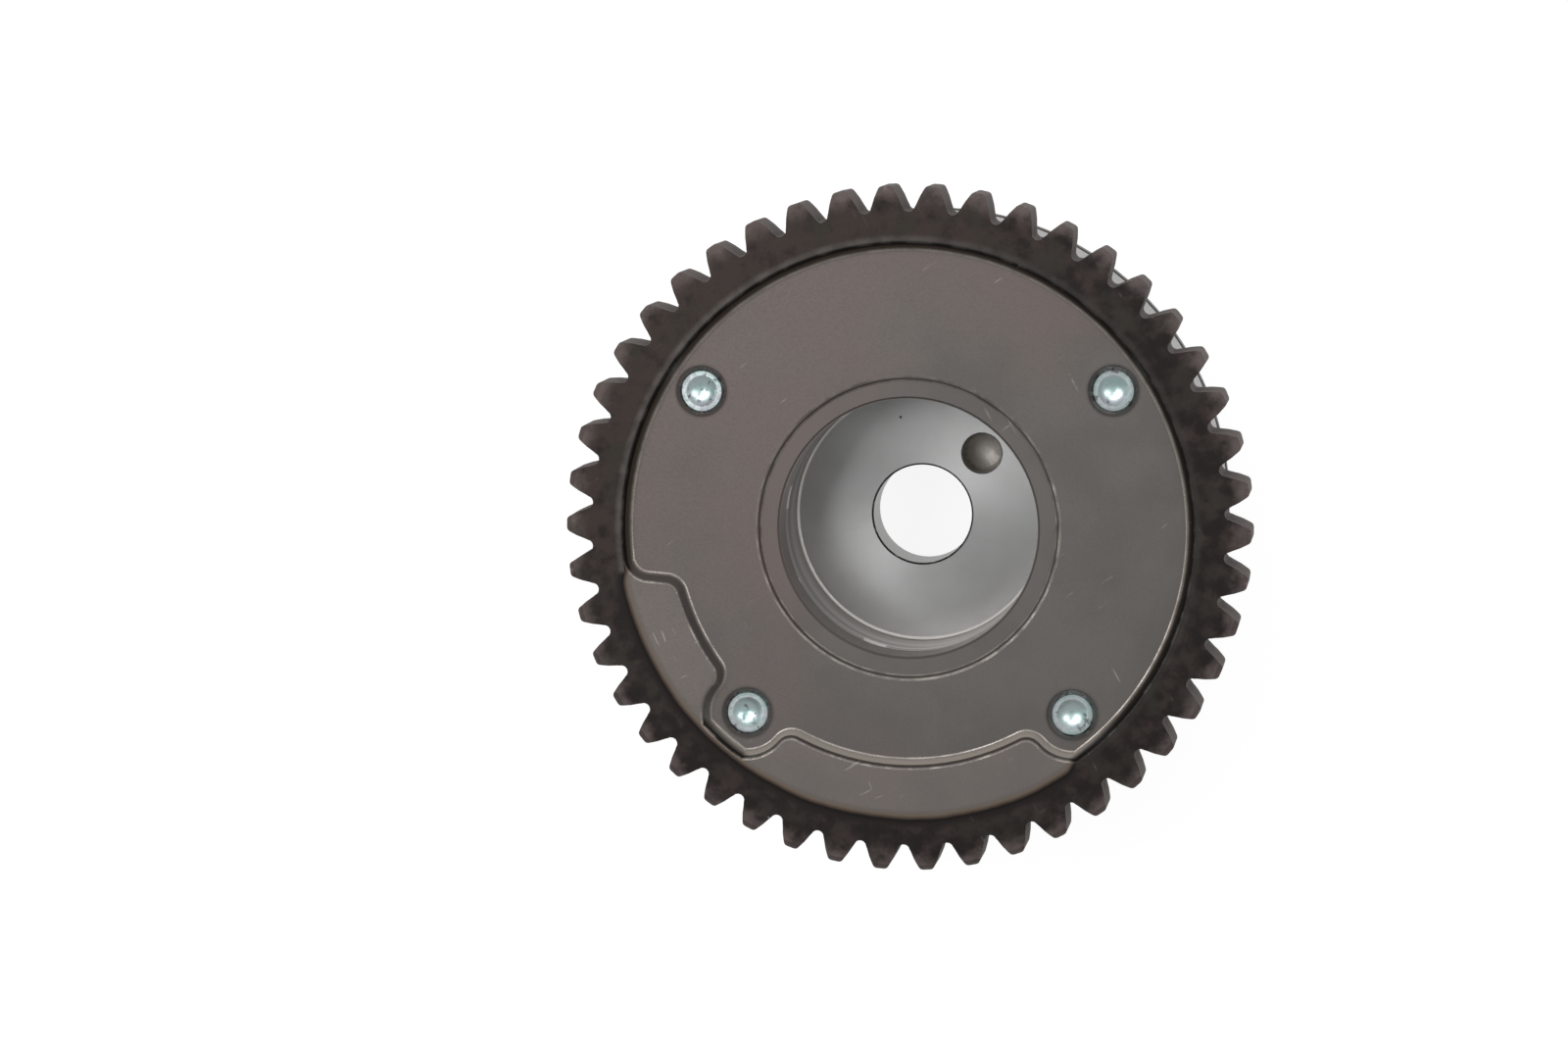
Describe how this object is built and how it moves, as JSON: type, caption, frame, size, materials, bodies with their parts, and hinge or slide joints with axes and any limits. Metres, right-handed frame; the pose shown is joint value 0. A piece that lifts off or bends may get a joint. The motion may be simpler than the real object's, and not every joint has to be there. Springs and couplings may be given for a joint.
{
  "type": "cam phaser",
  "caption": "Vane cam phaser: toothed sprocket plate with a sunken field and two pads on a round housing, closed by a front cover, with a vane rotor that turns inside.",
  "frame": {"origin": "on the turning axis, in the plane of the bolt heads that the part lies on", "axes": "+Z along the turning axis towards the camshaft, +Y towards the wide vane, midway between the bolts that are furthest apart"},
  "size_m": [0.0934, 0.0934, 0.0447],
  "materials": {
    "sintered_steel": "satin sintered steel, darker on the toothed ring",
    "housing_aluminium": "plain machined aluminium",
    "cover_steel": "satin dark steel",
    "rotor_steel": "turned satin steel",
    "seal_plastic": "filled seal plastic",
    "spring_steel": "drawn spring steel",
    "pin_steel": "ground hardened steel",
    "bolt_zinc": "bright bluish zinc plate"
  },
  "bodies": {
    "drive": {"sprocket_plate": "sintered_steel", "housing": "housing_aluminium", "front_cover": "cover_steel", "cover_bolts": "bolt_zinc", "locating_pin": "pin_steel", "lock_bush": "pin_steel", "shoe_seal_1": "seal_plastic", "shoe_seal_2": "seal_plastic", "shoe_seal_3": "seal_plastic", "shoe_seal_4": "seal_plastic", "shoe_spring_1": "spring_steel", "shoe_spring_2": "spring_steel", "shoe_spring_3": "spring_steel", "shoe_spring_4": "spring_steel"},
    "vane_rotor": {"rotor": "rotor_steel", "vane_seal_1": "seal_plastic", "vane_seal_2": "seal_plastic", "vane_seal_3": "seal_plastic", "vane_seal_4": "seal_plastic", "vane_spring_1": "spring_steel", "vane_spring_2": "spring_steel", "vane_spring_3": "spring_steel", "vane_spring_4": "spring_steel", "lock_spring": "spring_steel", "spring_seat": "pin_steel"},
    "pin": {"lock_pin": "pin_steel"}
  },
  "joints": [
    {"name": "phase", "type": "hinge", "parent": "drive", "child": "vane_rotor", "pos_m": [0, 0, 0.0225], "axis": [0, 0, 1], "range_deg": [0, 30]},
    {"name": "lock_pin_slide", "type": "slide", "parent": "vane_rotor", "child": "pin", "axis": [0, 0, -1], "range_m": [0, 0.0015], "stiffness_N_per_m": 500, "springref_m": -0.01, "deforming": ["lock_spring"]}
  ]
}
